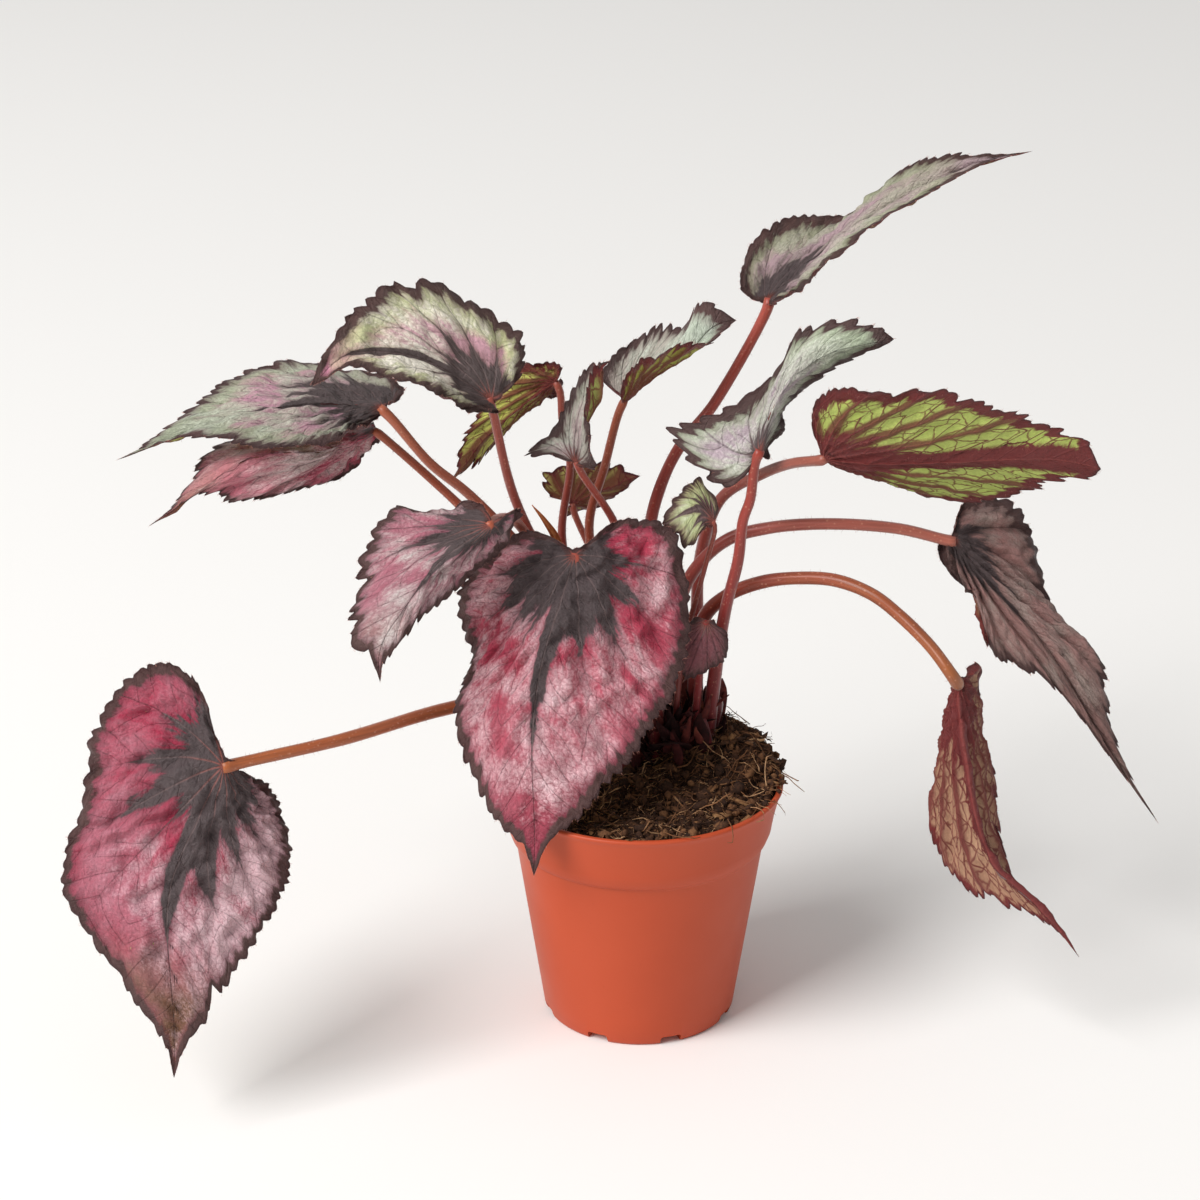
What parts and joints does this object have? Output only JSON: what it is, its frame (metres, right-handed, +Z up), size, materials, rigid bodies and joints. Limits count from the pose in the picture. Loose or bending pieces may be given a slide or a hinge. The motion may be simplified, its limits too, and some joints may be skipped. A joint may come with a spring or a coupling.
{
  "type": "potted rex begonia",
  "caption": "Leafy rex begonia in a round plastic nursery pot, with arching stalks and lopsided heart-shaped blades hanging over the rim.",
  "frame": {"origin": "centre of the pot's base, on the face it stands on", "axes": "+Z up along the pot's axis, +Y away from the viewer of the picture, +X to the viewer's right"},
  "size_m": [0.4439, 0.1865, 0.3553],
  "materials": {
    "pot_plastic": "moulded orange-brown plastic with a soft sheen",
    "potting_soil": "loose peat and coir fibre",
    "rhizome_bark": "rough brown-red bark",
    "stalk_red": "fleshy and finely hairy",
    "blade_silver": "silver-green with dark veins and margin",
    "blade_crimson": "crimson and pink with dark centre and margin",
    "blade_green": "yellow-green underside with dark red veins",
    "bract_orange": "dry orange bract"
  },
  "bodies": {
    "root": {"pot": "pot_plastic", "soil": "potting_soil", "rhizome": "rhizome_bark", "stalk_01": "stalk_red", "blade_01": "blade_crimson", "stalk_02": "stalk_red", "blade_02": "blade_crimson", "stalk_03": "stalk_red", "blade_03": "blade_crimson", "stalk_04": "stalk_red", "blade_04": "blade_silver", "stalk_05": "stalk_red", "blade_05": "blade_silver", "stalk_06": "stalk_red", "blade_06": "blade_crimson", "stalk_07": "stalk_red", "blade_07": "blade_green", "stalk_08": "stalk_red", "blade_08": "blade_silver", "stalk_09": "stalk_red", "blade_09": "blade_silver", "stalk_10": "stalk_red", "blade_10": "blade_crimson", "stalk_11": "stalk_red", "blade_11": "blade_silver", "stalk_12": "stalk_red", "blade_12": "blade_green", "stalk_13": "stalk_red", "blade_13": "blade_silver", "stalk_14": "stalk_red", "blade_14": "blade_green", "stalk_15": "stalk_red", "blade_15": "blade_green", "stalk_16": "stalk_red", "blade_16": "blade_green", "stalk_17": "stalk_red", "blade_17": "blade_crimson", "stipule": "bract_orange"}
  },
  "joints": []
}
